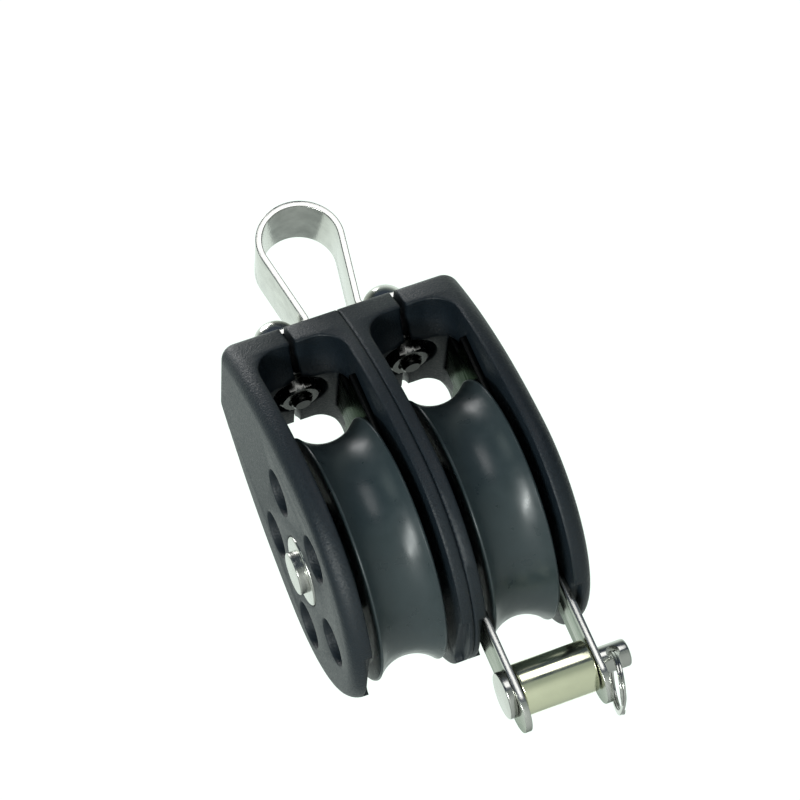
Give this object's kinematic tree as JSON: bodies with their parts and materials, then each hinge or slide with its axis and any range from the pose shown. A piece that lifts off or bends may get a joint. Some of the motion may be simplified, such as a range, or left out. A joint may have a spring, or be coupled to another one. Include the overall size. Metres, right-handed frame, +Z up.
{
  "type": "double sheave block with becket",
  "caption": "Double side-by-side plain rope block with a fixed strip eye at the head and a becket under one sheave.",
  "frame": {"origin": "centre of the head eye", "axes": "+Z up the load line towards the eye's crown, +X along the sheave axle from the left cheek to the right cheek, +Y from the front face to the back"},
  "size_m": [0.0491, 0.0486, 0.1124],
  "materials": {
    "cheek_nylon": "matte moulded, fine grain",
    "sheave_acetal": "semi-gloss moulded and turned",
    "polished_stainless": "polished",
    "satin_stainless": "satin, sheared edges",
    "bronze_bush": "turned",
    "white_washer": "smooth"
  },
  "bodies": {
    "block": {"left_outer_cheek": "cheek_nylon", "left_inner_cheek": "cheek_nylon", "right_inner_cheek": "cheek_nylon", "right_outer_cheek": "cheek_nylon", "left_thrust_washers": "white_washer", "right_thrust_washers": "white_washer", "axle": "satin_stainless", "axle_nut": "satin_stainless", "left_outer_side_plate": "satin_stainless", "left_inner_side_plate": "satin_stainless", "right_inner_side_plate": "satin_stainless", "right_outer_side_plate": "satin_stainless", "eye_strap": "polished_stainless", "head_screws": "polished_stainless", "head_nuts": "satin_stainless", "head_washers": "satin_stainless"},
    "left_wheel": {"left_sheave": "sheave_acetal", "left_sheave_bush": "bronze_bush"},
    "right_wheel": {"right_sheave": "sheave_acetal", "right_sheave_bush": "bronze_bush"},
    "clevis_pin": {"becket_pin": "satin_stainless"},
    "spacer_tube": {"becket_spacer": "polished_stainless"},
    "ring": {"split_ring": "polished_stainless"}
  },
  "joints": [
    {"name": "left_sheave_spin", "type": "hinge", "parent": "block", "child": "left_wheel", "pos_m": [-0.0106, 0, -0.0593], "axis": [1, 0, 0], "continuous": true},
    {"name": "right_sheave_spin", "type": "hinge", "parent": "block", "child": "right_wheel", "pos_m": [0.0106, 0, -0.0593], "axis": [1, 0, 0], "continuous": true},
    {"name": "becket_pin_turn", "type": "hinge", "parent": "block", "child": "clevis_pin", "pos_m": [0.0106, 0, -0.0938], "axis": [1, 0, 0], "range_deg": [-120, 120]},
    {"name": "becket_spacer_spin", "type": "hinge", "parent": "clevis_pin", "child": "spacer_tube", "pos_m": [0.0106, 0, -0.0938], "axis": [1, 0, 0], "continuous": true},
    {"name": "split_ring_swing", "type": "hinge", "parent": "clevis_pin", "child": "ring", "pos_m": [0.0216, 0, -0.0938], "axis": [0, 1, 0], "range_deg": [-90, 0]}
  ]
}
